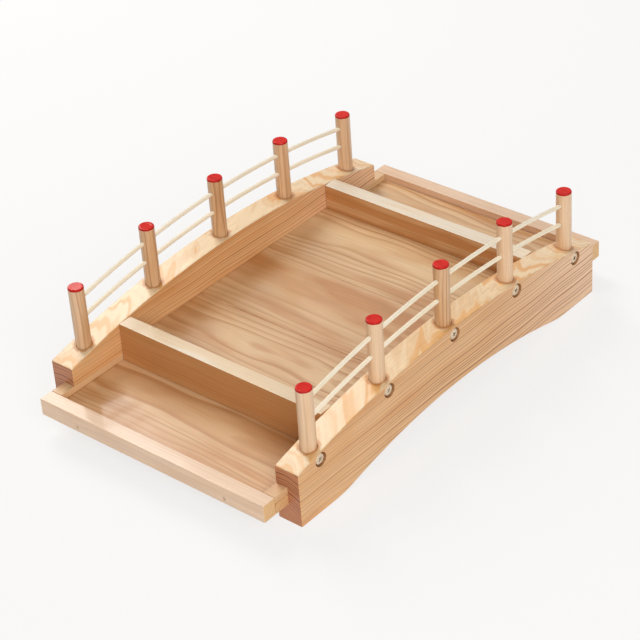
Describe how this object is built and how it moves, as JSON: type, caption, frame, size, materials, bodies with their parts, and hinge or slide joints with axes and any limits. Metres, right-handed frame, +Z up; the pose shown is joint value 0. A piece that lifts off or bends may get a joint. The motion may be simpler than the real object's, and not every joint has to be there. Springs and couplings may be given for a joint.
{
  "type": "sushi serving bridge",
  "caption": "Arched wooden serving bridge: two side beams carry a recessed deck, a shallow lipped tray at each end and a railing of red-topped dowel posts and thin bamboo rods.",
  "frame": {"origin": "on the table under the middle of the bridge", "axes": "+X along the bridge towards its rear end, +Y from the near beam to the far beam, +Z up"},
  "size_m": [0.42, 0.2464, 0.1216],
  "materials": {
    "beam_pine": "planed pine under a thin clear lacquer, satin",
    "board_pine": "planed pine under a thin clear lacquer, satin",
    "batten_pine": "planed pine under a thin clear lacquer, sawn ends",
    "dowel": "turned dowel under a thin clear lacquer, top painted red",
    "bamboo": "bare pale bamboo",
    "screw_steel": "zinc plated",
    "nail_steel": "bright wire nail, dulled"
  },
  "bodies": {
    "root": {"near_beam": "beam_pine", "far_beam": "beam_pine", "near_post_1": "dowel", "near_post_2": "dowel", "near_post_3": "dowel", "near_post_4": "dowel", "near_post_5": "dowel", "far_post_1": "dowel", "far_post_2": "dowel", "far_post_3": "dowel", "far_post_4": "dowel", "far_post_5": "dowel", "near_upper_rod": "bamboo", "near_lower_rod": "bamboo", "far_upper_rod": "bamboo", "far_lower_rod": "bamboo", "near_post_screw_1": "screw_steel", "near_post_screw_2": "screw_steel", "near_post_screw_3": "screw_steel", "near_post_screw_4": "screw_steel", "near_post_screw_5": "screw_steel", "far_post_screw_1": "screw_steel", "far_post_screw_2": "screw_steel", "far_post_screw_3": "screw_steel", "far_post_screw_4": "screw_steel", "far_post_screw_5": "screw_steel", "front_sill": "board_pine", "rear_sill": "board_pine", "front_tray_floor": "board_pine", "rear_tray_floor": "board_pine", "front_lip": "batten_pine", "rear_lip": "batten_pine", "front_rim_strip_near": "batten_pine", "front_rim_strip_far": "batten_pine", "rear_rim_strip_near": "batten_pine", "rear_rim_strip_far": "batten_pine", "front_lip_nail_near": "nail_steel", "front_lip_nail_far": "nail_steel", "rear_lip_nail_near": "nail_steel", "rear_lip_nail_far": "nail_steel", "deck_board_1": "board_pine", "deck_board_2": "board_pine", "deck_board_3": "board_pine"}
  },
  "joints": []
}
